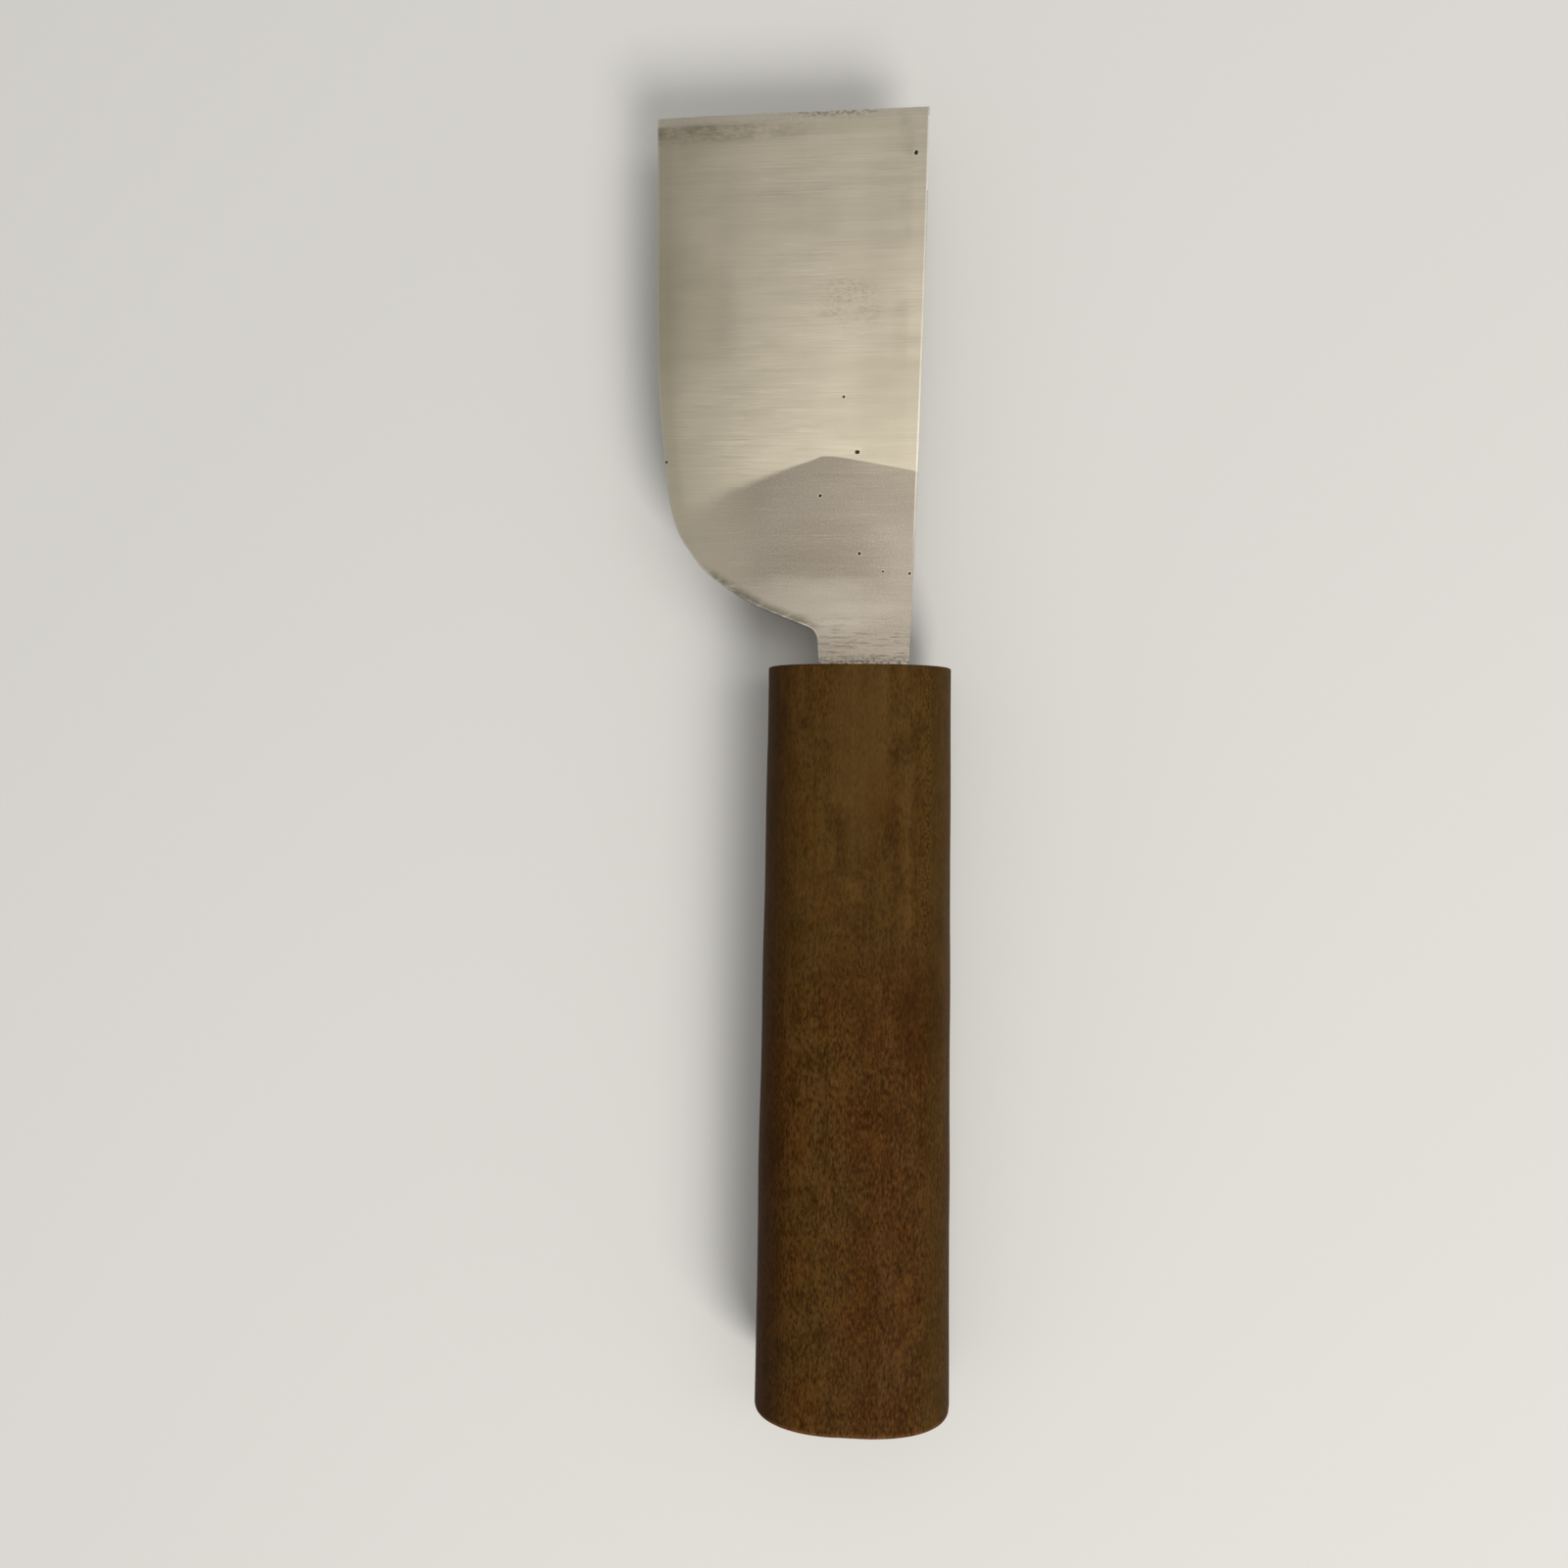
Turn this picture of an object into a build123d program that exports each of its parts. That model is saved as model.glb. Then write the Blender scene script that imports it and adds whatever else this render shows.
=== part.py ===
from build123d import *

import os
from math import copysign, cos, pi, radians, sin, tan

# A leatherworker's skiving knife: a laminated chisel blade on a hidden tang in a two-part oval handle.
#
# The blade is two metals forge-welded face to face. A soft iron body makes the back of the blade, the
# neck and the tang, and a thin layer of hard steel lies in its flat face and carries the cutting edge.
# The handle is two halves of wood, each with half of the slot for the tang, glued together over it.
#
# Millimetres. The knife is drawn with x = 0 on the handle's centre line, y = 0 at the handle's front
# face, +Y towards the cutting edge, and z = 0 where the handle rests. PLACE then moves it so that the
# origin is below the middle of its bounding box.

# ---- Driving dimensions: blade ----------------------------------------------------------------------
BLADE_WIDTH = 36.0  # along x, from corner to corner of the cutting edge
BLADE_THICKNESS = 3.0
STEEL_THICKNESS = 1.0  # of the hard layer
EDGE_LEFT = (-27.6, 72.75)  # left corner of the cutting edge
EDGE_RISE = 0.55  # how much further forward the right corner is
BEVEL_ANGLE = 13.0  # between the bevel and the flat face, degrees
NECK_LEFT, NECK_RIGHT = -5.4, 6.45  # sides of the neck where it enters the handle
SPINE_BOW = 0.27  # how far the spine bows out from a straight line
HEEL_CORNER_RADIUS = 1.0  # in the notch between the heel and the neck
SPINE_CHAMFER = 0.35  # broken arris on the spine side of the flat face
HEEL_CHAMFER = 0.15  # the same on the heel side
BACK_CHAMFER = 0.3  # both arrises of the other face

# ---- Driving dimensions: the hollow in the flat face ------------------------------------------------
HOLLOW_DEPTH = 0.12
HOLLOW_EDGE_LAND = 1.3  # flat land left along the cutting edge
HOLLOW_SIDE_LAND = 2.1  # flat land left along each side
HOLLOW_SLOPE = 86.0  # the hollow's wall, degrees from upright
HOLLOW_BACK = (28.5, 32.0)  # y where the hollow ends, at its left and right sides
HOLLOW_DRAWN_IN = 0.8  # how much narrower it is there, at each side
HOLLOW_FRONT_RADIUS, HOLLOW_REAR_RADIUS = 3.0, 7.0

# ---- Driving dimensions: tang -----------------------------------------------------------------------
TANG_LENGTH = 62.0
TANG_END_WIDTH = 7.0
TANG_ROOT_THICKNESS, TANG_END_THICKNESS = 2.8, 2.0
TANG_END_RADIUS = 2.5

# ---- Driving dimensions: handle ---------------------------------------------------------------------
HANDLE_LENGTH = 98.3
HANDLE_THICKNESS = 21.0  # over the flats
HANDLE_FRONT_WIDTH, HANDLE_BUTT_WIDTH = 24.0, 25.9
OVAL_POWER = 2.5  # 2 is an ellipse, and more is squarer
OVAL_POINTS = 32
FLAT_SHAVING = 0.12  # planed off the top and bottom of the oval, which leaves a flat about 6 mm wide
BUTT_ROUND, FRONT_ROUND = 0.8, 0.3  # broken edges of the two end faces
SLOT_CLEARANCE = 0.35  # filled with adhesive all round the tang
GLUE_FILM = 0.12  # between the halves

# ---- Worked out from them ---------------------------------------------------------------------------
MIDDLE = HANDLE_THICKNESS / 2  # height of the plane that parts the handle and halves the blade
FLAT_FACE = MIDDLE + BLADE_THICKNESS / 2  # height of the flat face, which is on top
BACK_FACE = MIDDLE - BLADE_THICKNESS / 2
EDGE_RIGHT = (EDGE_LEFT[0] + BLADE_WIDTH, EDGE_LEFT[1] + EDGE_RISE)
SPINE_MIDDLE = (
    (EDGE_RIGHT[0] + NECK_RIGHT) / 2 + SPINE_BOW,
    EDGE_RIGHT[1] / 2,
)
TANG_MIDDLE = (NECK_LEFT + NECK_RIGHT) / 2
PLACE = Location(
    (
        -(EDGE_LEFT[0] + HANDLE_BUTT_WIDTH / 2) / 2,
        -(EDGE_RIGHT[1] - HANDLE_LENGTH) / 2,
        0,
    )
)

# Outline of the heel, from the straight left side round to the notch, and the welded line.
HEEL = [
    (-27.4, 48.0),
    (-27.05, 36.0),
    (-25.3, 21.0),
    (-22.2, 14.65),
    (-18.9, 11.45),
    (-14.0, 8.4),
    (-6.5, 5.35),
]
WELD_LINE = [
    (-29.0, 17.4),
    (-22.6, 20.9),
    (-15.8, 24.2),
    (-7.1, 27.2),
    (-4.3, 27.9),
    (1.9, 26.9),
    (12.0, 24.8),
]
WELD_SCARF = 4.0  # over this length the hard layer thins to nothing
FEATHER = 0.05  # thickness left at its very end


def line_face(*edges):
    """A flat face inside edges that meet end to end."""
    return make_face(Wire(list(edges)))


def slab(face, bottom, top):
    """The face, drawn at z = 0, extruded from one height to another."""
    return extrude(Pos(0, 0, bottom) * face, amount=top - bottom, dir=(0, 0, 1))


# ---- Blade ------------------------------------------------------------------------------------------
def blade_outline():
    """The blade seen on its flat face, down to the handle's front face."""
    spine = ThreePointArc(EDGE_RIGHT, SPINE_MIDDLE, (NECK_RIGHT, 0))
    mouth = Line((NECK_RIGHT, 0), (NECK_LEFT, 0))
    neck = Line((NECK_LEFT, 0), HEEL[-1])
    side = Line(HEEL[0], EDGE_LEFT)
    heel = Spline(*reversed(HEEL), tangents=[(-8, 3), side % 0])
    edge = Line(EDGE_LEFT, EDGE_RIGHT)
    face = line_face(spine, mouth, neck, heel, side, edge)
    notch = face.vertices().sort_by_distance((*HEEL[-1], 0))[0]
    return fillet(notch, HEEL_CORNER_RADIUS)


def bevel_cutter():
    """What the bevel removes: a wedge under a plane from the cutting edge to the back face."""
    depth = BLADE_THICKNESS + 1
    along = Vector(*EDGE_RIGHT) - Vector(*EDGE_LEFT)
    back = Vector(along.Y, -along.X).normalized()
    plane = Plane(origin=(*EDGE_LEFT, FLAT_FACE), x_dir=back, z_dir=-along.normalized())
    foot = depth / tan(radians(BEVEL_ANGLE))
    beyond = -5
    side_view = Polyline((0, 0), (foot, -depth), (beyond, -depth), (beyond, 0), close=True)
    return extrude(plane * make_face(side_view), amount=BLADE_WIDTH * 1.5, both=True)


def long_arrises(solid, height, spine_side):
    """The edges of one face of the blade that run beside it, on the spine side or the heel side."""
    level = solid.edges().filter_by_position(Axis.Z, height - 0.001, height + 0.001)
    level = level.filter_by(lambda e: e.bounding_box().size.Z < 0.001)
    beside = level.filter_by(lambda e: e.bounding_box().size.Y > 10)
    return beside.filter_by(lambda e: (e.center().X > 0) == spine_side)


def whole_blade():
    """Blade and neck as one piece of metal, with its bevel and broken arrises."""
    blade = slab(blade_outline(), BACK_FACE, FLAT_FACE) - bevel_cutter()
    for height, spine_side, size in (
        (FLAT_FACE, True, SPINE_CHAMFER),
        (FLAT_FACE, False, HEEL_CHAMFER),
        (BACK_FACE, True, BACK_CHAMFER),
        (BACK_FACE, False, BACK_CHAMFER),
    ):
        blade = chamfer(long_arrises(blade, height, spine_side), size)
    return blade


def hard_layer_envelope():
    """What of the blade is hard steel lies in here. It is scarfed to a thin end along the welded line."""
    beyond = EDGE_RIGHT[1] + 5
    weld = Spline(*WELD_LINE)
    left, right = WELD_LINE[0], WELD_LINE[-1]
    rest = Polyline(right, (right[0], beyond), (left[0], beyond), left)
    block = slab(line_face(weld, *rest.edges()), FLAT_FACE - STEEL_THICKNESS, FLAT_FACE + 1)
    lower_rear = block.edges().group_by(Axis.Z)[0].filter_by(GeomType.BSPLINE)
    return chamfer(lower_rear, STEEL_THICKNESS - FEATHER, WELD_SCARF)


def hollow_cutter():
    """The shallow hollow that is ground into the flat face, behind a narrow land along the cutting edge."""
    left = EDGE_LEFT[0] + HOLLOW_SIDE_LAND
    right = EDGE_RIGHT[0] - HOLLOW_SIDE_LAND
    corners = [
        (left, EDGE_LEFT[1] - HOLLOW_EDGE_LAND),
        (right, EDGE_RIGHT[1] - HOLLOW_EDGE_LAND),
        (right - HOLLOW_DRAWN_IN, HOLLOW_BACK[1]),
        (left + HOLLOW_DRAWN_IN, HOLLOW_BACK[0]),
    ]
    face = make_face(Polyline(*corners, close=True))
    face = fillet(face.vertices().sort_by(Axis.Y)[2:], HOLLOW_FRONT_RADIUS)
    face = fillet(face.vertices().sort_by(Axis.Y)[:2], HOLLOW_REAR_RADIUS)
    return extrude(Pos(0, 0, FLAT_FACE) * face, amount=HOLLOW_DEPTH, dir=(0, 0, -1), taper=HOLLOW_SLOPE)


# ---- Tang -------------------------------------------------------------------------------------------
def tang(grow=0.0):
    """The tapered tang behind y = 0. With grow, it is the slot that holds it, larger by that all round."""
    end = -TANG_LENGTH - grow
    half_end = TANG_END_WIDTH / 2 + grow
    plan = Polyline(
        (NECK_RIGHT + grow, 0),
        (NECK_LEFT - grow, 0),
        (TANG_MIDDLE - half_end, end),
        (TANG_MIDDLE + half_end, end),
        close=True,
    )
    plan = make_face(plan)
    plan = fillet(plan.vertices().sort_by(Axis.Y)[:2], TANG_END_RADIUS)
    root, tip = TANG_ROOT_THICKNESS / 2 + grow, TANG_END_THICKNESS / 2 + grow
    side = Polyline(
        (0, MIDDLE - root),
        (0, MIDDLE + root),
        (end, MIDDLE + tip),
        (end, MIDDLE - tip),
        close=True,
    )
    side = Plane.YZ * make_face(side)
    return slab(plan, 0, HANDLE_THICKNESS) & extrude(side, amount=HANDLE_BUTT_WIDTH, both=True)


# ---- Handle -----------------------------------------------------------------------------------------
def oval(width, y):
    """The handle's section at y: a squarish oval, the same above and below the parting plane."""
    half_height = HANDLE_THICKNESS / 2 + FLAT_SHAVING
    points = []
    for k in range(OVAL_POINTS):
        angle = 2 * pi * k / OVAL_POINTS
        x = width / 2 * copysign(abs(cos(angle)) ** (2 / OVAL_POWER), cos(angle))
        z = half_height * copysign(abs(sin(angle)) ** (2 / OVAL_POWER), sin(angle))
        points.append((x, y, MIDDLE + z))
    return make_face(Spline(*points, periodic=True))


def handle_body():
    """The handle's outer shape, narrowing towards the blade, with a flat planed along top and bottom."""
    body = loft([oval(HANDLE_FRONT_WIDTH, 0), oval(HANDLE_BUTT_WIDTH, -HANDLE_LENGTH)], ruled=True)
    body = body & layer(0, HANDLE_THICKNESS)
    body = fillet(body.edges().group_by(Axis.Y)[0], BUTT_ROUND)
    return fillet(body.edges().group_by(Axis.Y)[-1], FRONT_ROUND)


def layer(bottom, top):
    """A box across the whole handle between two heights."""
    size = 2 * HANDLE_LENGTH
    return Pos(0, -HANDLE_LENGTH / 2, bottom) * Box(
        size, size, top - bottom, align=(Align.CENTER, Align.CENTER, Align.MIN)
    )


# ---- Sub-parts --------------------------------------------------------------------------------------
def parts():
    """Every sub-part by node name, still drawn from the handle's front face."""
    blade = whole_blade()
    hard_layer = blade & hard_layer_envelope()
    soft_blade = blade - hard_layer_envelope()
    tang_shape, slot = tang(), tang(SLOT_CLEARANCE)
    body = handle_body()
    wood = body - slot
    film_bottom, film_top = MIDDLE - GLUE_FILM / 2, MIDDLE + GLUE_FILM / 2
    return {
        "iron_body": soft_blade + tang_shape,
        "steel_layer": hard_layer - hollow_cutter(),
        "handle_upper_half": wood & layer(film_top, HANDLE_THICKNESS + 1),
        "handle_lower_half": wood & layer(-1, film_bottom),
        "handle_glue_film": (body & layer(film_bottom, film_top)) - slot,
        "tang_bedding": slot - tang_shape,
    }


os.makedirs("parts", exist_ok=True)
for name, shape in parts().items():
    export_step(PLACE * shape, f"parts/{name}.step")
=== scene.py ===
import math

import bmesh
import bpy
import numpy as np
from mathutils import Matrix, Vector


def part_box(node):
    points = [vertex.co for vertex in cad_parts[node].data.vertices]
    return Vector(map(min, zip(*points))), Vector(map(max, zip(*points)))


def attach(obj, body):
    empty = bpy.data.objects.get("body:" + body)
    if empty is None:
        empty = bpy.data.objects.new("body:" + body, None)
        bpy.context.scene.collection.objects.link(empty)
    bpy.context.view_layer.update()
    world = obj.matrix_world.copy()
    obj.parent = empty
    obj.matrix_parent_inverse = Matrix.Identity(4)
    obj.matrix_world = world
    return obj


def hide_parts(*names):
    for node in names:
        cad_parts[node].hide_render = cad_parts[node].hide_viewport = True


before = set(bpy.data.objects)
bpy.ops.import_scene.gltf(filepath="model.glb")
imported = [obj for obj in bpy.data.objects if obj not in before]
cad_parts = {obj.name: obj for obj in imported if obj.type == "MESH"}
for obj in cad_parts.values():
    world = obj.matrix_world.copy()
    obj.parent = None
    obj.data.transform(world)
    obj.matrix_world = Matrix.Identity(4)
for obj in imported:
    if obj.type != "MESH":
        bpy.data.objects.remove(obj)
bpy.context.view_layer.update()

# A leatherworker's skiving knife. Shapes are worked out in millimetres in the knife's own terms: x = 0 on
# the handle's centre line, y = 0 at its front face, z = 0 on the plane that parts its halves, +Y towards
# the cutting edge and +Z out of the blade's flat face. Every mesh is then moved to the frame, in metres.

MM = 0.001
MERGE_WITHIN = 2e-6  # metres

# ---- Sizes from the frame, in millimetres -----------------------------------------------------------
UPPER_LOW, UPPER_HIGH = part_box("handle_upper_half")
FILM_LOW, FILM_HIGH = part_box("handle_glue_film")
STEEL_LOW, STEEL_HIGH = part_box("steel_layer")
IRON_LOW, IRON_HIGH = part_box("iron_body")
ORIGIN = Vector(((UPPER_LOW.x + UPPER_HIGH.x) / 2, UPPER_HIGH.y, (FILM_LOW.z + FILM_HIGH.z) / 2))

HANDLE_LENGTH = (UPPER_HIGH.y - UPPER_LOW.y) / MM
BUTT_HALF_WIDTH = (UPPER_HIGH.x - UPPER_LOW.x) / MM / 2
HALF_THICKNESS = (UPPER_HIGH.z - ORIGIN.z) / MM
FILM_TOP = (FILM_HIGH.z - ORIGIN.z) / MM
FLAT_FACE = (IRON_HIGH.z - ORIGIN.z) / MM
BACK_FACE = (IRON_LOW.z - ORIGIN.z) / MM
STEEL_THICKNESS = (STEEL_HIGH.z - STEEL_LOW.z) / MM
EDGE_LEFT = (STEEL_LOW.x - ORIGIN.x) / MM
EDGE_RIGHT = (STEEL_HIGH.x - ORIGIN.x) / MM
EDGE_FRONT = (STEEL_HIGH.y - ORIGIN.y) / MM
TANG_END = (IRON_LOW.y - ORIGIN.y) / MM

# ---- The blade, in millimetres ----------------------------------------------------------------------
EDGE_RISE = 0.55  # the right corner of the edge is this much further forward than the left
EDGE_BOW = 0.16  # sets how far it curves forward between them
EDGE_NICKS = [(-6.9, 0.06), (-5.6, 0.1), (-3.9, 0.05), (-2.2, 0.08), (-0.6, 0.11), (0.9, 0.06)]  # x, depth
NICK_WIDTH = 0.3
BEVEL = math.tan(math.radians(13))
SPINE_AT_NECK = 6.45
SPINE_BOW = 0.27  # how far the spine curves outward at its middle
LEFT_SIDE = [  # x and y, from the neck round the heel to beyond the edge
    (-5.4, 0.0),
    (-5.58, 3.2),
    (-5.78, 4.35),
    (-6.45, 5.2),
    (-8.4, 6.05),
    (-14.0, 8.4),
    (-18.9, 11.45),
    (-22.2, 14.65),
    (-25.3, 21.0),
    (-27.05, 36.0),
    (-27.4, 48.0),
    (EDGE_LEFT, EDGE_FRONT + 1),
]
WELD_LINE = [  # x and y on the flat face
    (-29.0, 17.4),
    (-22.6, 20.9),
    (-15.8, 24.2),
    (-7.1, 27.2),
    (-4.3, 27.9),
    (1.9, 26.9),
    (12.0, 24.8),
]
SCARF = 4.0  # the hard layer thickens from nothing over this length
HOLLOW_DEPTH, HOLLOW_WALL = 0.11, 9.0
EDGE_LAND, SIDE_LAND, REAR_LAND = 1.2, 1.9, 2.5  # flat borders round the hollow
HEEL_ARRIS, BACK_ARRIS, BEVEL_ARRIS = 0.14, 0.3, 0.03
SPINE_ARRIS = 0.06, 0.1, 0.13  # at the neck, and what it gains by the edge and by the middle
ARRIS_SLOPE = 0.3  # how steeply the arrises are filed
TANG_END_HALF_WIDTH, TANG_END_RADIUS = 3.5, 2.5
TANG_ROOT_HALF, TANG_END_HALF = 1.4, 1.0  # half its thickness
TANG_MIDDLE = (LEFT_SIDE[0][0] + SPINE_AT_NECK) / 2
TANG_STARTS = -1.0  # inside the handle, so that its shoulder is hidden

# ---- The handle, in millimetres ---------------------------------------------------------------------
FRONT_HALF_WIDTH = 12.0
OVAL_POWER = 2.45
FLAT_SHAVING = 0.12  # planed off the oval's top and bottom
FRONT_ROUND, BUTT_ROUND = 0.2, 0.8  # radii of its ends' rims
SLOT_CLEARANCE = 0.35
DENTS = [  # x, y, size, depth
    (-1.1, -1.2, 0.6, 0.16),
    (-7.6, -29.5, 1.4, 0.05),
    (8.3, -60.0, 1.1, 0.06),
    (3.5, -88.0, 0.9, 0.07),
]

# ---- The camera, as it stands over the handle's front face ------------------------------------------
CAMERA_AIM = (-9.95, -15.39)  # x and y, in millimetres
CAMERA_DISTANCE = 195.1
CAMERA_LEAN = math.radians(5.5)  # towards +X
CAMERA_TILT = math.radians(0.87)  # towards +Y
CAMERA_TWIST = math.radians(0.62)
CAMERA_LENS, SENSOR = 33.52, 36.0


# ---- Tools for shapes -------------------------------------------------------------------------------
def smooth_path(points, steps=24):
    """A Catmull-Rom curve through the points, as an array of (x, y)."""
    p = np.array(points, float)
    p = np.vstack([2 * p[0] - p[1], p, 2 * p[-1] - p[-2]])
    t = np.linspace(0, 1, steps, endpoint=False)[:, None]
    spans = []
    for a, b, c, d in zip(p, p[1:], p[2:], p[3:]):
        square = 2 * a - 5 * b + 4 * c - d
        cube = 3 * b - a - 3 * c + d
        spans.append(0.5 * (2 * b + (c - a) * t + square * t**2 + cube * t**3))
    return np.vstack([*spans, p[-2:-1]])


def evenly(path, count):
    """The path as that many steps of equal length."""
    length = np.append(0, np.cumsum(np.hypot(*np.diff(path, axis=0).T)))
    at = np.linspace(0, length[-1], count + 1)
    return np.stack([np.interp(at, length, path[:, k]) for k in range(path.shape[1])], -1)


def smoothstep(low, high, value):
    """0 at low, 1 at high and beyond, and a smooth change between them. low may be above high."""
    t = np.clip((value - low) / (high - low), 0, 1)
    return t * t * (3 - 2 * t)


def unevenness(a, b, wavelength, seed, waves=9):
    """Smooth bumps of about -1 to 1 over the plane (a, b), as a sum of waves in all directions."""
    rng = np.random.default_rng(seed)
    total = 0.0
    for _ in range(waves):
        turn, phase = rng.uniform(0, 2 * math.pi, 2)
        length = wavelength * rng.uniform(0.7, 1.7)
        total = total + np.sin((a * math.cos(turn) + b * math.sin(turn)) * 2 * math.pi / length + phase)
    return total / math.sqrt(waves)


def between(first, second, steps):
    """The grid that joins two lines of points in straight steps."""
    t = np.linspace(0, 1, steps + 1)[:, None, None]
    return first[None] * (1 - t) + second[None] * t


def closed_piece(name, top, bottom, wall_steps, cap_steps, sharp):
    """A closed mesh object from two grids of points, rows by columns. Walls join their outer columns, and
    caps join their first and last rows. Edges that turn by more than sharp degrees are shaded as sharp."""
    grids = [top, bottom]
    grids += [between(top[:, k], bottom[:, k], wall_steps) for k in (0, -1)]
    grids += [between(top[k], bottom[k], cap_steps) for k in (0, -1)]
    faces, start = [], 0
    for grid in grids:
        rows, columns = grid.shape[:2]
        index = start + np.arange(rows * columns).reshape(rows, columns)
        corners = (index[:-1, :-1], index[:-1, 1:], index[1:, 1:], index[1:, :-1])
        faces.append(np.stack(corners, -1).reshape(-1, 4))
        start += rows * columns
    points = np.vstack([grid.reshape(-1, 3) for grid in grids]) * MM + np.array(ORIGIN)
    mesh = bpy.data.meshes.new(name)
    mesh.from_pydata(points.tolist(), [], np.vstack(faces).tolist())
    bm = bmesh.new()
    bm.from_mesh(mesh)
    bmesh.ops.remove_doubles(bm, verts=bm.verts, dist=MERGE_WITHIN)
    bmesh.ops.recalc_face_normals(bm, faces=bm.faces)
    bm.to_mesh(mesh)
    bm.free()
    mesh.shade_smooth()
    mesh.set_sharp_from_angle(angle=math.radians(sharp))
    piece = bpy.data.objects.new(name, mesh)
    bpy.context.scene.collection.objects.link(piece)
    return piece


def knife_points(piece):
    """The x, y and z of the piece's vertices, in the knife's own millimetres."""
    found = np.empty(len(piece.data.vertices) * 3)
    piece.data.vertices.foreach_get("co", found)
    return ((found.reshape(-1, 3) - np.array(ORIGIN)) / MM).T


def paint(piece, **layers):
    """Stores a number at each vertex under each name, for the materials to read."""
    for name, values in layers.items():
        layer = piece.data.attributes.new(name, "FLOAT", "POINT")
        layer.data.foreach_set("value", np.asarray(values, np.float32))


# ---- The blade's shape ------------------------------------------------------------------------------
LEFT_PATH = smooth_path(LEFT_SIDE)
WELD_PATH = smooth_path(WELD_LINE)
COLUMNS = 130


def tang_half_width(y, at_root):
    """Half the tang's width, which tapers to a rounded end."""
    taper = at_root + (TANG_END_HALF_WIDTH - at_root) * np.clip(y / TANG_END, 0, 1)
    into_corner = np.clip(TANG_END + TANG_END_RADIUS - y, 0, TANG_END_RADIUS)
    return taper - TANG_END_RADIUS + np.sqrt(TANG_END_RADIUS**2 - into_corner**2)


def tang_half(y):
    """Half the tang's thickness."""
    return TANG_ROOT_HALF + (TANG_END_HALF - TANG_ROOT_HALF) * np.clip(y / TANG_END, 0, 1)


def left_x(y):
    """The left outline: tang, neck, heel and the straight side."""
    tang_side = TANG_MIDDLE - tang_half_width(y, TANG_MIDDLE - LEFT_SIDE[0][0])
    return np.where(y < 0, tang_side, np.interp(y, LEFT_PATH[:, 1], LEFT_PATH[:, 0]))


def right_x(y):
    """The right outline: tang and spine."""
    along = np.clip(y / EDGE_FRONT, 0, 1)
    spine = SPINE_AT_NECK + (EDGE_RIGHT - SPINE_AT_NECK) * along + SPINE_BOW * 4 * along * (1 - along)
    tang_side = TANG_MIDDLE + tang_half_width(y, SPINE_AT_NECK - TANG_MIDDLE)
    return np.where(y < 0, tang_side, spine)


def straight_edge_y(x):
    """The line between the edge's corners."""
    return EDGE_FRONT - EDGE_RISE * (EDGE_RIGHT - x) / (EDGE_RIGHT - EDGE_LEFT)


def edge_y(x):
    """The cutting edge. It bows forward a little on the left, and has small nicks."""
    along = (x - EDGE_LEFT) / (EDGE_RIGHT - EDGE_LEFT)
    y = straight_edge_y(x) + EDGE_BOW * 4 * along * (1 - along) ** 2
    for nick_x, depth in EDGE_NICKS:
        y = y - depth * np.exp(-(((x - nick_x) / NICK_WIDTH) ** 2))
    return y


def weld_y(x):
    """The line where the hard steel begins on the flat face."""
    return np.interp(x, WELD_PATH[:, 0], WELD_PATH[:, 1])


def spine_arris(y):
    """Width of the bright chamfer along the spine: thin at the neck and widest in the middle of the blade."""
    at_neck, by_edge, by_middle = SPINE_ARRIS
    return at_neck + smoothstep(8, 30, y) * (by_edge + by_middle * smoothstep(72, 46, y))


def hollow(x, y):
    """How deeply the flat face is hollowed at each place, from 0 to 1."""
    from_left = smoothstep(SIDE_LAND, HOLLOW_WALL, x - left_x(y))
    from_right = smoothstep(SIDE_LAND, HOLLOW_WALL, right_x(y) - x)
    from_edge = smoothstep(EDGE_LAND, HOLLOW_WALL, straight_edge_y(x) - y)
    from_weld = smoothstep(REAR_LAND, 3 * HOLLOW_WALL, y - weld_y(x))
    return from_left * from_right * from_edge * from_weld


def flat_height(x, y):
    """Height of the blade's flat face, which hand grinding leaves a little uneven, and of the tang."""
    ground = 0.008 * unevenness(x, y * 1.4, 17, seed=3) + 0.003 * unevenness(x * 0.3, y, 3.1, seed=5) - 0.012
    ground = ground * smoothstep(0, 3, straight_edge_y(x) - y) * smoothstep(-1, 3, y)
    blade = FLAT_FACE - HOLLOW_DEPTH * hollow(x, y) + ground
    return np.where(y < TANG_STARTS / 2, tang_half(y), blade)


def back_height(x, y):
    """Height of the other face and its bevel, and of the tang."""
    ground = 0.012 + 0.01 * unevenness(x, y, 13, seed=11)
    bevel = FLAT_FACE - np.maximum(edge_y(x) - y, 0) * BEVEL
    blade = np.maximum(BACK_FACE + ground * smoothstep(-1, 3, y), bevel)
    return np.where(y < TANG_STARTS / 2, -tang_half(y), blade)


def behind_edge(drop):
    """The line on the bevel, as a function of x, that lies that far below the flat face."""
    return lambda x: edge_y(x) - drop / BEVEL


def at(y):
    """A straight line across the blade, as a function of x."""
    return lambda x: y + 0 * x


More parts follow.
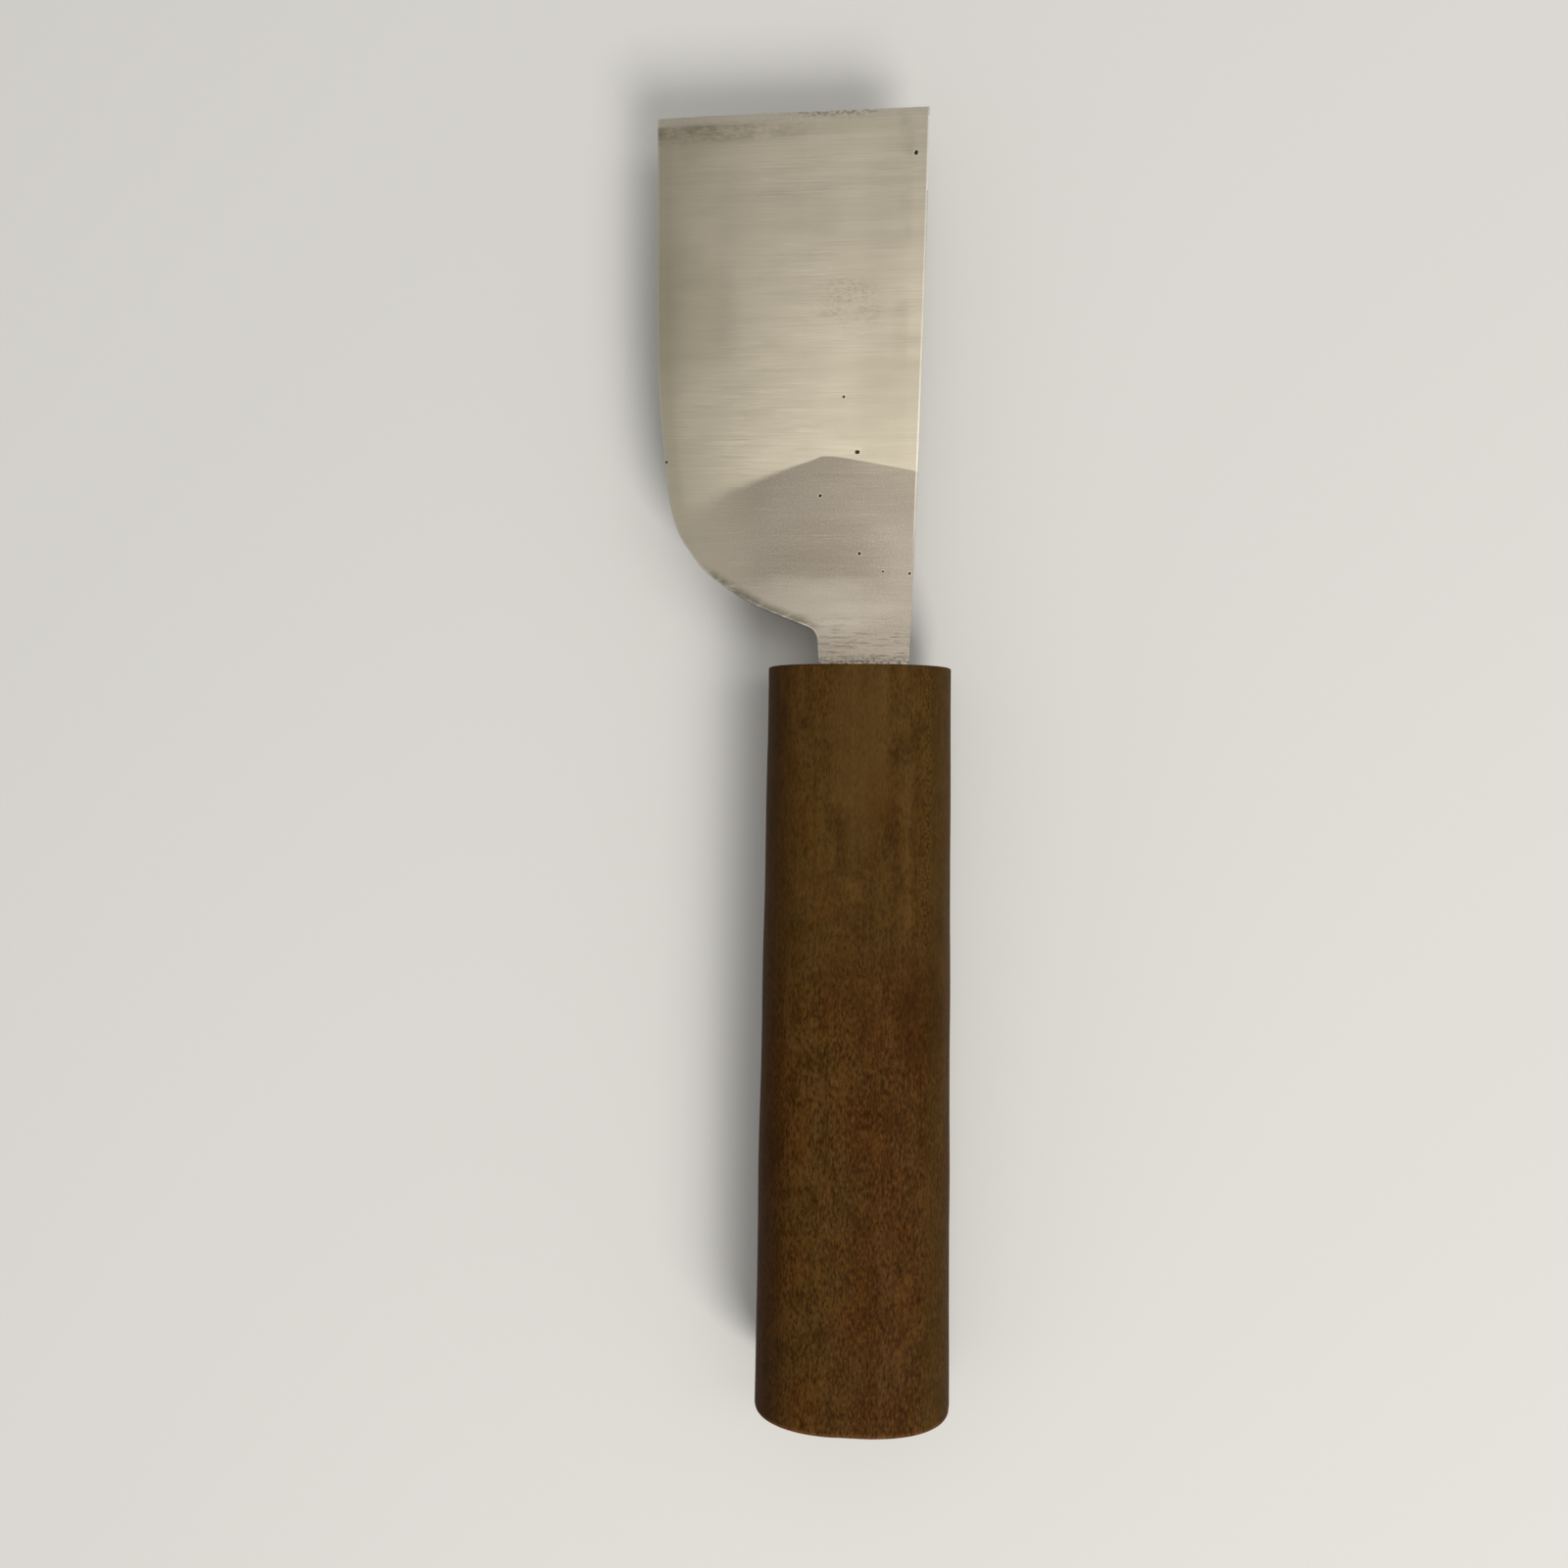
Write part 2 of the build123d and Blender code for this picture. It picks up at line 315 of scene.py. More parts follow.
def blade_rows():
    """The y of each point of a grid over the blade, and the first row of each stretch. The rows follow the
    welded line, the bevel's shoulder, the layers' line on the bevel and the cutting edge exactly."""
    stretches = [
        (at(TANG_END), 0),
        (at(TANG_STARTS), 30),
        (weld_y, 110),
        (behind_edge(FLAT_FACE - BACK_FACE), 110),
        (behind_edge(STEEL_THICKNESS), 30),
        (behind_edge(0), 26),
    ]
    across = np.linspace(0, 1, COLUMNS + 1)
    rows, starts = [], []
    for line, count in stretches:
        y = line(across * 0.0)
        for _ in range(12):
            y = line(left_x(y) + across * (right_x(y) - left_x(y)))
        if rows:
            last = rows[-1]
            rows += [last + (y - last) * k / count for k in range(1, count + 1)]
        else:
            rows.append(y)
        starts.append(len(rows) - 1)
    return np.array(rows), starts


def face_grid(y, height, arris_left, arris_right, side):
    """One face of the blade as a grid of points. Its outer columns lie on the outlines, nearer the middle
    of the blade's thickness by the widths of the arrises. side is 1 on the flat face and -1 on the back."""
    across = np.linspace(0, 1, COLUMNS + 1)
    left, right = left_x(y) + arris_left, right_x(y) - arris_right
    x = left + across * (right - left)
    z = height(x, y)
    drop_left, drop_right = side * ARRIS_SLOPE * arris_left, side * ARRIS_SLOPE * arris_right
    first = np.stack([(left - arris_left)[:, 0], y[:, 0], (z - drop_left)[:, 0]], -1)
    last = np.stack([(right + arris_right)[:, -1], y[:, -1], (z - drop_right)[:, -1]], -1)
    return np.concatenate([first[:, None], np.stack([x, y, z], -1), last[:, None]], axis=1)


def make_blade():
    """The soft iron body and the hard steel layer, which share their edges along the welded line."""
    y, (_, _, weld, shoulder, layers, _) = blade_rows()
    thickness = np.minimum(FLAT_FACE - BACK_FACE, (y[-1] - y) * BEVEL)
    room = 0.4 * thickness
    top = face_grid(y, flat_height, np.minimum(HEEL_ARRIS, room), np.minimum(spine_arris(y), room), 1)
    back_arris = np.full_like(y, BACK_ARRIS)
    back_arris[shoulder:] = BEVEL_ARRIS
    room[weld:layers] = 0.4 * (thickness[weld:layers] - STEEL_THICKNESS)
    room[layers] = 0
    back_arris = np.minimum(back_arris, np.maximum(room, 0))
    bottom = face_grid(y, back_height, back_arris, back_arris, -1)
    weld_plane = top.copy()
    depth = np.clip((top[..., 1] - weld_y(top[..., 0])) / SCARF, 0, 1)
    depth[weld] = 0
    weld_plane[..., 2] += (FLAT_FACE - STEEL_THICKNESS - top[..., 2]) * depth
    iron_top = np.concatenate([top[:weld], weld_plane[weld : layers + 1]])
    steel_bottom = np.concatenate([weld_plane[weld:layers], bottom[layers:]])
    iron = closed_piece("blade_iron", iron_top, bottom[: layers + 1], 6, 6, sharp=8)
    steel = closed_piece("blade_steel", top[weld:], steel_bottom, 4, 1, sharp=8)
    return iron, steel


# ---- The handle's shape -----------------------------------------------------------------------------
ARC_STEPS, END_STEPS, LENGTH_STEPS = 128, 6, 240
SLOT_STEPS = 6  # up each side wall of the slot


def oval_arc():
    """The upper half of the handle's section at the butt, from right to left, and its outward normals."""
    angle = np.linspace(0, math.pi, 2001)
    x = BUTT_HALF_WIDTH * np.sign(np.cos(angle)) * np.abs(np.cos(angle)) ** (2 / OVAL_POWER)
    z = (HALF_THICKNESS + FLAT_SHAVING) * np.abs(np.sin(angle)) ** (2 / OVAL_POWER)
    arc = evenly(np.stack([x, np.minimum(z, HALF_THICKNESS)], -1), ARC_STEPS)
    along = np.gradient(arc, axis=0)
    normal = np.stack([along[:, 1], -along[:, 0]], -1)
    return arc, normal / np.linalg.norm(normal, axis=1, keepdims=True)


def handle_rows():
    """The y of each row of points along the handle, and how far its rounded ends draw that row in."""
    turn = np.linspace(0, math.pi / 2, END_STEPS + 1)
    front_y, front_in = FRONT_ROUND * (np.sin(turn) - 1), FRONT_ROUND * (1 - np.cos(turn))
    butt_y, butt_in = BUTT_ROUND * (1 - np.sin(turn)) - HANDLE_LENGTH, BUTT_ROUND * (1 - np.cos(turn))
    middle = np.linspace(-FRONT_ROUND, BUTT_ROUND - HANDLE_LENGTH, LENGTH_STEPS + 1)[1:-1]
    y = np.concatenate([front_y[::-1], middle, butt_y])
    drawn_in = np.concatenate([front_in[::-1], middle * 0, butt_in])
    return y, drawn_in


def handle_relief(x, y, z, upper):
    """How far the worked wood stands out from the true oval, in millimetres."""
    relief = 0.05 * unevenness(x, y / 3, 9, seed=21) + 0.04 * unevenness(z, y / 4, 8, seed=22)
    relief = relief + 0.012 * unevenness(x + z, y / 12, 1.6, seed=23, waves=14)
    relief = relief - 0.05 * (np.abs(z) < 2 * FILM_TOP)
    if upper:
        for dent_x, dent_y, size, depth in DENTS:
            away = ((x - dent_x) ** 2 + ((y - dent_y) / 1.6) ** 2) / size**2
            relief = relief - depth * np.exp(-away)
    return relief


def slot_path(y):
    """The slot's outline at y: up one wall, across over the tang and down again. Behind the tang's end it
    lies flat in the parting plane."""
    over_tang = y > TANG_END - SLOT_CLEARANCE
    height = tang_half(y) + SLOT_CLEARANCE if over_tang else FILM_TOP
    left = float(left_x(np.array(y))) - SLOT_CLEARANCE
    right = float(right_x(np.array(y))) + SLOT_CLEARANCE
    rise = np.linspace(FILM_TOP, height, SLOT_STEPS + 1)
    fall = np.linspace(height, FILM_TOP, SLOT_STEPS + 1)
    roof_steps = ARC_STEPS - 2 * SLOT_STEPS
    z = np.concatenate([rise, np.full(roof_steps - 1, height), fall])
    roof = np.linspace(right, left, roof_steps + 1)
    x = np.concatenate([np.full(SLOT_STEPS, right), roof, np.full(SLOT_STEPS, left)])
    return np.stack([x, np.full(ARC_STEPS + 1, y), z], -1)


def make_half(name, upper):
    """One half of the handle: the outer face, and the parting face with its slot for the tang."""
    arc, normal = oval_arc()
    rows_y, drawn_in = handle_rows()
    side = 1 if upper else -1
    outer, inner = [], []
    for y, inset in zip(rows_y, drawn_in):
        half_width = FRONT_HALF_WIDTH + (BUTT_HALF_WIDTH - FRONT_HALF_WIDTH) * -y / HANDLE_LENGTH
        x = arc[:, 0] * half_width / BUTT_HALF_WIDTH
        z = np.maximum(arc[:, 1], FILM_TOP)
        out = handle_relief(x, y, z * side, upper) - inset
        z = np.clip(z + normal[:, 1] * out, FILM_TOP, HALF_THICKNESS)
        outer.append(np.stack([x + normal[:, 0] * out, np.full(len(x), y), z * side], -1))
        inner.append(slot_path(y) * (1, 1, side))
    return closed_piece(name, np.array(outer), np.array(inner), 10, 12, sharp=40)


# ---- Tools for materials ----------------------------------------------------------------------------
def tone(red, green, blue):
    """A colour given as it looks on a screen, 0 to 255, for a shader."""
    parts = [c / 255 / 12.92 if c < 10 else ((c / 255 + 0.055) / 1.055) ** 2.4 for c in (red, green, blue)]
    return (*parts, 1.0)


class Look:
    """A material with one Principled shader, and short names for the nodes that feed it."""

    def __init__(self, name, **settings):
        self.material = bpy.data.materials.new(name)
        self.material.use_nodes = True
        self.tree = self.material.node_tree
        self.colour = None
        self.shader = self.tree.nodes["Principled BSDF"]
        for socket, value in settings.items():
            self.shader.inputs[socket.replace("_", " ").title().replace("Ior", "IOR")].default_value = value
        place = self.node("TexCoord").outputs["Object"]
        centre = [-c / MM for c in ORIGIN]
        self.place = self.node("Mapping", Vector=place, Location=centre, Scale=(1 / MM,) * 3).outputs[0]
        self.x, self.y, self.z = self.node("SeparateXYZ", Vector=self.place).outputs

    def node(self, kind, settings=None, **inputs):
        """Adds a node. Inputs are numbers, colours or other nodes' outputs."""
        node = self.tree.nodes.new("ShaderNode" + kind)
        for name, value in (settings or {}).items():
            setattr(node, name, value)
        for name, value in inputs.items():
            self.feed(node.inputs[name.replace("_", " ")], value)
        return node

    def feed(self, socket, value):
        """Links an output to the socket, or sets the socket to a plain value."""
        if isinstance(value, bpy.types.NodeSocket):
            self.tree.links.new(value, socket)
        else:
            socket.default_value = value

    def calc(self, operation, first, second=0.0):
        """One step of arithmetic."""
        node = self.node("Math", {"operation": operation})
        self.feed(node.inputs[0], first)
        self.feed(node.inputs[1], second)
        return node.outputs[0]

    def total(self, *terms):
        """The sum of (weight, value) terms."""
        result = 0.0
        for weight, value in terms:
            node = self.node("Math", {"operation": "MULTIPLY_ADD"})
            for socket, part in zip(node.inputs, (value, weight, result)):
                self.feed(socket, part)
            result = node.outputs[0]
        return result

    def both(self, *masks):
        """The product of masks."""
        result = masks[0]
        for mask in masks[1:]:
            result = self.calc("MULTIPLY", result, mask)
        return result

    def ramp(self, value, start, end, low=0.0, high=1.0):
        """low where value is at start, high where it is at end, and smooth between. start may exceed end."""
        if start > end:
            start, end, low, high = end, start, high, low
        node = self.node(
            "MapRange",
            {"interpolation_type": "SMOOTHSTEP"},
            Value=value,
            From_Min=start,
            From_Max=end,
            To_Min=low,
            To_Max=high,
        )
        return node.outputs[0]

    def noise(self, size, seed, detail=2.0, roughness=0.5, distortion=0.0):
        """Noise round 0.5, with features about that many millimetres long in x, y and z."""
        scale = [1 / s for s in size]
        place = self.node("Mapping", Vector=self.place, Location=(seed * 7.3, seed * 3.1, 0), Scale=scale)
        texture = self.node(
            "TexNoise",
            Vector=place.outputs[0],
            Scale=1.0,
            Detail=detail,
            Roughness=roughness,
            Distortion=distortion,
        )
        return texture.outputs[0]

    def spot(self, x, y, radius, stretch=1.0, solid=0.15, ragged=0.0):
        """1 at a place on the face and 0 beyond the radius. stretch lengthens it along y, a larger solid part
        gives it a sharper edge, and ragged is noise that spoils its outline."""
        across = self.calc("MULTIPLY", self.calc("SUBTRACT", self.x, x), 1 / radius)
        along = self.calc("MULTIPLY", self.calc("SUBTRACT", self.y, y), 1 / radius / stretch)
        away = self.total((1.0, self.both(across, across)), (1.0, self.both(along, along)), (1.0, ragged))
        return self.ramp(away, 1.0, solid)

    def stored(self, name):
        """A number that paint() stored."""
        node = self.node("Attribute", {"attribute_name": name})
        return node.outputs["Fac"]

    def blend(self, factor, first, second):
        """The first colour where factor is 0, the second where it is 1."""
        node = self.node("Mix", {"data_type": "RGBA"})
        for index, value in ((0, factor), (6, first), (7, second)):
            self.feed(node.inputs[index], value)
        return node.outputs[2]

    def lay(self, colour, strength, *masks):
        """Lays a colour over the look's colour so far, at that strength, where the masks are 1."""
        self.colour = self.blend(self.both(*masks, strength), self.colour, colour)

    def surface(self, roughness, height):
        """Feeds the shader. height is the relief in millimetres."""
        bump = self.node("Bump", Height=height, Distance=MM, Strength=1.0)
        self.feed(self.shader.inputs["Base Color"], self.colour)
        self.feed(self.shader.inputs["Roughness"], roughness)
        self.feed(self.shader.inputs["Normal"], bump.outputs[0])
        return self.material


# ---- Materials --------------------------------------------------------------------------------------
STEEL_COLOUR = tone(206, 196, 176)
# Duller steel for scratches, clouds and the worn strip, also laid as painted shade.
STEEL_DULL_AND_SHADE = tone(166, 158, 138)
STEEL_BRIGHT = tone(232, 224, 206)
MARGIN_COLOUR = tone(148, 146, 118)
# Painted highlight colour for the arrises.
ARRIS_HIGHLIGHT = tone(252, 249, 240)
IRON_COLOUR = tone(157, 148, 136)
IRON_DARK = tone(141, 132, 119)
IRON_PALE = tone(190, 182, 169)
STAIN = tone(92, 80, 58)
HEEL_STAIN = tone(94, 88, 72)
PIT = tone(24, 20, 15)
RUST = tone(128, 100, 62)
# Painted shade: patches where the steel is darkened to tone down the light on it.
PAINTED_SHADE_PATCHES = [  # x, y, radius, strength
    (6.0, 33.0, 11.0, 0.42),
    (-9.0, 33.0, 9.0, 0.16),
    (-25.0, 47.0, 10.0, 0.6),
]
PITS = [  # x, y, radius
    (6.66, 67.4, 0.3),
    (-0.57, 28.45, 0.33),
    (-2.46, 35.7, 0.17),
    (-5.41, 22.7, 0.2),
    (-0.15, 15.1, 0.2),
    (2.96, 12.75, 0.15),
    (6.43, 12.5, 0.18),
    (-26.0, 27.3, 0.2),
]


class BladeLook(Look):
    """Hand-ground metal: scratches across the blade, stains, pits, and the layers' different tones."""

    def __init__(self, name):
        super().__init__(name, metallic=1.0, anisotropic=0.35)
        self.feed(self.shader.inputs["Tangent"], self.node("CombineXYZ", Y=1.0).outputs[0])
        self.flat, self.weld, self.edge = self.stored("flat"), self.stored("weld"), self.stored("edge")
        self.left, self.right, self.rim = self.stored("left"), self.stored("right"), self.stored("rim")
        self.hair = self.noise((9, 0.11, 3), 1, detail=3.0, roughness=0.6)
        self.brush = self.noise((22, 0.34, 5), 2, detail=3.0, roughness=0.6)
        self.streak = self.noise((5, 0.14, 3), 8, detail=2.0, roughness=0.6)
        self.cloud = self.noise((7, 5, 5), 4, detail=4.0, roughness=0.55)
        self.grit = self.noise((0.5, 0.3, 0.4), 5, detail=3.0, roughness=0.7)
        self.smears = self.noise((2.0, 1.0, 1), 6, detail=5.0, roughness=0.7)
        self.uneven = self.calc("SUBTRACT", self.cloud, 0.5)
        self.margin = self.both(self.ramp(self.left, 2.6, 1.2), self.ramp(self.weld, -2.0, 4.0), self.flat)
        self.honed = self.both(self.ramp(self.edge, 1.4, 0.9), self.ramp(self.smears, 0.25, 0.5, 0.75, 1.0))

    def steel(self):
        """Steel with fine scratches, duller clouds, and streaks that show more in some places."""
        self.colour = STEEL_COLOUR
        self.lay(STEEL_BRIGHT, 0.16, self.ramp(self.brush, 0.4, 0.7))
        self.lay(STEEL_DULL_AND_SHADE, 0.12, self.ramp(self.hair, 0.6, 0.35))
        self.lay(STEEL_DULL_AND_SHADE, 0.14, self.ramp(self.cloud, 0.5, 0.72))
        patches = self.noise((9, 6, 5), 9, detail=2.0)
        on_left = self.spot(-17.0, 31.0, 12.0, 0.8)
        streaky = self.total((1.0, self.ramp(patches, 0.4, 0.6, 0.15, 0.8)), (0.45, on_left))
        self.lay(STEEL_BRIGHT, 0.45, self.ramp(self.streak, 0.52, 0.7), streaky)
        self.lay(STEEL_DULL_AND_SHADE, 0.35, self.ramp(self.streak, 0.42, 0.3), streaky)

    def iron_tone(self):
        """The soft iron's colour: darker near the weld, grainy, and paler above the neck."""
        grain = self.noise((0.26, 0.2, 0.3), 11, detail=2.0)
        self.colour = IRON_COLOUR
        self.lay(IRON_DARK, 0.6, self.ramp(self.weld, -11.0, -0.5))
        self.lay(IRON_DARK, 0.9, self.spot(-5.5, 14.0, 11.0, 0.9, 0.0))
        self.lay(STAIN, 0.2, self.ramp(grain, 0.5, 0.75))
        self.lay(STEEL_COLOUR, 0.2, self.ramp(grain, 0.5, 0.25))
        self.lay(STEEL_COLOUR, 0.12, self.ramp(self.streak, 0.55, 0.7))
        self.lay(IRON_PALE, 0.45, self.spot(-7.0, 8.0, 13.0, 0.42, 0.0, self.uneven))

    def iron(self):
        """Lays the iron behind the welded line, which is crisp on the right and fades to the left."""
        steel = self.colour
        self.iron_tone()
        softness = self.ramp(self.x, -6.0, -24.0, 0.2, 4.0)
        ragged = self.total((1.0, self.weld), (0.9, self.both(softness, self.uneven)))
        behind = self.ramp(self.calc("DIVIDE", ragged, softness), 0.5, -0.5)
        seen = self.both(behind, self.ramp(self.x, -25.0, -13.0, 0.3, 1.0), self.flat)
        self.colour = self.blend(seen, steel, self.colour)
        under = self.calc("SUBTRACT", self.stored("iron"), self.flat)
        self.colour = self.blend(self.ramp(under, 0.0, 1.0), self.colour, IRON_COLOUR)

    def borders(self):
        """Painted shade towards the left and in patches, the worn strip beside the spine, and painted
        highlights on the arrises of the flat face.
        """
        # Painted shade: the steel darkens towards the left, where the light falls off.
        self.colour = self.blend(self.ramp(self.x, -12.0, -25.0, 0.0, 0.45), self.colour, STEEL_DULL_AND_SHADE)
        # Painted shade in patches that tone down the light on the steel.
        for x, y, radius, strength in PAINTED_SHADE_PATCHES:
            self.lay(STEEL_DULL_AND_SHADE, strength, self.spot(x, y, radius, 1.2, 0.0))
        self.lay(MARGIN_COLOUR, 0.25, self.margin)
        strip = self.both(self.ramp(self.right, 4.6, 3.0), self.ramp(self.right, 1.5, 2.5), self.flat)
        ahead = self.both(self.ramp(self.weld, -2.0, 2.0), self.ramp(self.y, 30.0, 62.0, 0.3, 1.0))
        worn = self.both(self.ramp(self.cloud, 0.35, 0.6), self.ramp(self.grit, 0.3, 0.7, 0.5, 1.0))
        self.lay(STEEL_DULL_AND_SHADE, 0.4, strip, ahead, worn)
        # Painted highlight: near-white along the spine's arris, and at half strength along the left outline's
        # arris.
        spine = self.both(self.ramp(self.right, 0.34, 0.14), self.ramp(self.y, 12.0, 34.0), self.flat)
        self.colour = self.blend(spine, self.colour, ARRIS_HIGHLIGHT)
        self.lay(ARRIS_HIGHLIGHT, 0.5, self.ramp(self.rim, 0.22, 0.1), self.flat)

    def edge_marks(self):
        """The honed strip at the cutting edge, with a smudge behind it on the left and grime on it."""
        behind = self.both(self.ramp(self.edge, 4.2, 2.4), self.ramp(self.edge, 0.5, 1.4), self.flat)
        self.lay(STAIN, 0.5, behind, self.ramp(self.x, -1, -20), self.ramp(self.smears, 0.3, 0.65))
        self.lay(STEEL_BRIGHT, 0.45, self.honed)
        grime = self.both(self.ramp(self.edge, 0.9, 0.4), self.spot(-4.0, 72.5, 7.0, 0.5), self.flat)
        self.lay(STAIN, 0.7, grime, self.ramp(self.grit, 0.45, 0.65))

    def stains(self):
        """Rust specks, one faint rust patch, dirt at the neck, and stains along the heel."""
        specks = self.noise((0.28, 0.28, 0.28), 7, detail=2.0)
        self.lay(RUST, 0.5, self.ramp(specks, 0.74, 0.8))
        patch = self.both(self.spot(-2.1, 47.9, 6.0, 0.7), self.flat)
        self.lay(RUST, 0.35, patch, self.ramp(self.cloud, 0.4, 0.6), self.ramp(self.grit, 0.4, 0.66))
        scale = self.noise((2.6, 0.3, 1), 10, detail=3.0, roughness=0.65)
        self.lay(STAIN, 0.6, self.ramp(self.y, 9.0, 1.5), self.ramp(scale, 0.48, 0.68))
        self.lay(PIT, 0.7, self.ramp(self.y, 2.2, 0.4), self.ramp(self.grit, 0.42, 0.6))
        mottle = self.noise((2.2, 0.9, 1), 12, detail=5.0, roughness=0.7)
        heel = self.both(self.ramp(self.y, 14.0, 11.5), self.ramp(self.y, 4.6, 6.2))
        self.lay(HEEL_STAIN, 0.75, self.ramp(self.rim, 1.5, 0.3), heel, self.ramp(mottle, 0.3, 0.62))

    def pits(self):
        """Dark pits with bright surrounds, on the flat face. Returns their mask."""
        ragged = self.total((2.2, self.grit), (1.0, -1.1))
        mask = 0.0
        for x, y, radius in PITS:
            pit = self.both(self.spot(x, y, radius, 1.1, 0.5, ragged), self.flat)
            self.lay(STEEL_BRIGHT, 0.2, self.spot(x, y, radius * 2.2), self.flat)
            self.lay(PIT, 0.96, pit)
            mask = self.calc("MAXIMUM", mask, pit)
        return mask

    def finish(self):
        """The whole material, from the steel up."""
        self.steel()
        self.iron()
        self.borders()
        self.edge_marks()
        self.stains()
        pits = self.pits()
        broad = self.noise((40, 1.7, 9), 3, detail=2.0)
        scratches = (0.06, self.hair), (0.06, self.brush), (0.05, broad)
        roughness = self.total(*scratches, (0.04, self.margin), (-0.06, self.honed))
        roughness = self.calc("ADD", roughness, 0.22)
        relief = (0.0015, self.hair), (0.003, self.brush), (0.004, broad)
        height = self.total(*relief, (-0.03, pits), (0.001, self.grit))
        return self.surface(roughness, height)


WOOD_OLIVE = tone(74, 53, 19)
WOOD_RED = tone(76, 46, 11)
WOOD_DARK = tone(49, 25, 2)
WOOD_LIGHT = tone(98, 72, 36)
WOOD_GREEN = tone(66, 49, 15)
WOOD_TAN = tone(101, 66, 29)
WOOD_RUSSET = tone(60, 31, 4)
PORE = tone(27, 14, 3)
# Painted highlight colour for the butt's rim.
WOOD_RIM_HIGHLIGHT = tone(112, 72, 36)
RING_SHIFT = (-14, 0, 38)  # puts the centre of the growth rings at x = 14 and z = -38


class WoodLook(Look):
    """Dark worn hardwood: faint grain along the handle, smooth and olive near the blade, redder and rough
    towards the butt, with short dark pores and broad clouds."""

    def __init__(self, name, seed):
        super().__init__(name, specular_ior_level=0.045)
        self.seed = seed
        self.fine = self.noise((0.3, 5, 0.3), seed + 1, detail=4.0, roughness=0.6)
        self.zones = self.noise((6, 11, 6), seed + 3, detail=3.0)
        self.grains = self.noise((0.3, 0.8, 0.3), seed + 4, detail=2.0, roughness=0.6)
        self.pores = self.noise((0.2, 1.2, 0.2), seed + 5, detail=1.0)
        self.worn = self.ramp(self.total((1.0, self.y), (24.0, self.zones)), -14.0, -42.0)
        self.rough = self.ramp(self.worn, 0.0, 1.0, 0.55, 1.0)

    def grain(self):
        """Olive to red wood, with bands, fine lines and clouds along the handle."""
        bands = self.noise((1.8, 40, 1.4), self.seed + 2, detail=3.0, roughness=0.5, distortion=0.3)
        patchy = self.noise((3.2, 4.5, 3.2), self.seed + 10, detail=5.0, roughness=0.7)
        redness = self.both(self.ramp(self.zones, 0.38, 0.62), self.ramp(self.worn, 0.0, 1.0, 0.3, 0.9))
        self.colour = self.blend(redness, WOOD_OLIVE, WOOD_RED)
        self.lay(WOOD_LIGHT, 0.3, self.ramp(bands, 0.52, 0.7))
        self.lay(WOOD_DARK, 0.4, self.ramp(bands, 0.48, 0.3))
        self.lay(WOOD_LIGHT, 0.35, self.ramp(self.fine, 0.5, 0.75))
        self.lay(WOOD_DARK, 0.3, self.ramp(self.zones, 0.44, 0.28))
        self.lay(WOOD_LIGHT, 0.35, self.ramp(patchy, 0.52, 0.66))
        self.lay(WOOD_DARK, 0.4, self.ramp(patchy, 0.48, 0.34))

    def wear(self):
        """The rougher wood towards the butt, with tan fibres and dark hollows."""
        blotches = self.noise((2.2, 4.0, 2.2), self.seed + 6, detail=3.0, roughness=0.6)
        self.lay(WOOD_RUSSET, 0.4, self.worn, self.ramp(self.x, -8.0, 6.0))
        self.lay(WOOD_DARK, 0.85, self.rough, self.ramp(self.grains, 0.5, 0.34))
        self.lay(WOOD_TAN, 0.6, self.rough, self.ramp(self.grains, 0.5, 0.68))
        self.lay(WOOD_DARK, 0.55, self.rough, self.ramp(blotches, 0.48, 0.3))
        self.lay(WOOD_TAN, 0.3, self.rough, self.ramp(blotches, 0.52, 0.68))

    def marks(self):
        """Painted shade on the left flank, a painted highlight along the top behind the neck, a coarse line
        on the right, stains and pores.
        """
        # Painted shade: the left flank darkens, where less light falls.
        self.colour = self.blend(self.ramp(self.x, -6.5, -11.0, 0.0, 0.65), self.colour, WOOD_DARK)
        # Painted highlight: a long pale band along the top of the handle behind the neck.
        self.lay(WOOD_LIGHT, 0.4, self.spot(0.6, -8.0, 4.5, 4.5))
        self.lay(WOOD_GREEN, 0.4, self.ramp(self.x, 8.9, 10.0))
        line = self.both(self.ramp(self.x, 8.2, 9.0), self.ramp(self.x, 10.0, 9.3))
        line = self.both(line, self.ramp(self.y, -42.0, -30.0))
        flecks = self.noise((0.22, 0.4, 0.3), self.seed + 9, detail=2.0, roughness=0.7)
        self.lay(PORE, 0.6, line, self.ramp(flecks, 0.5, 0.34))
        self.lay(WOOD_LIGHT, 0.6, line, self.ramp(flecks, 0.52, 0.68))
        self.lay(WOOD_RED, 0.35, self.spot(3.5, -16.5, 3.2, 1.6))
        self.lay(WOOD_DARK, 0.45, self.spot(8.7, -44.5, 4.0, 2.4))
        self.lay(PORE, 0.4, self.rough, self.ramp(self.pores, 0.62, 0.74))

    def end_grain(self):
        """The colour of the cut ends: faint growth rings round a centre outside the handle, and pores."""
        place = self.node("Mapping", Vector=self.place, Location=RING_SHIFT)
        rings = self.node(
            "TexWave",
            {"wave_type": "RINGS", "rings_direction": "Y"},
            Vector=place.outputs[0],
            Scale=0.15,
            Distortion=6.0,
            Detail=3.0,
            Detail_Scale=0.12,
        )
        dots = self.noise((0.2, 0.2, 0.2), self.seed + 7, detail=1.0)
        clouds = self.noise((5, 5, 5), self.seed + 8, detail=3.0)
        colour = self.blend(self.both(rings.outputs["Fac"], 0.35), WOOD_OLIVE, WOOD_DARK)
        colour = self.blend(self.both(self.ramp(clouds, 0.45, 0.7), 0.5), colour, WOOD_RED)
        return self.blend(self.both(self.ramp(dots, 0.55, 0.72), 0.6), colour, PORE)

    def ends(self):
        """A painted highlight along the butt's rim, the cut ends, and a dark line round the blade's neck."""
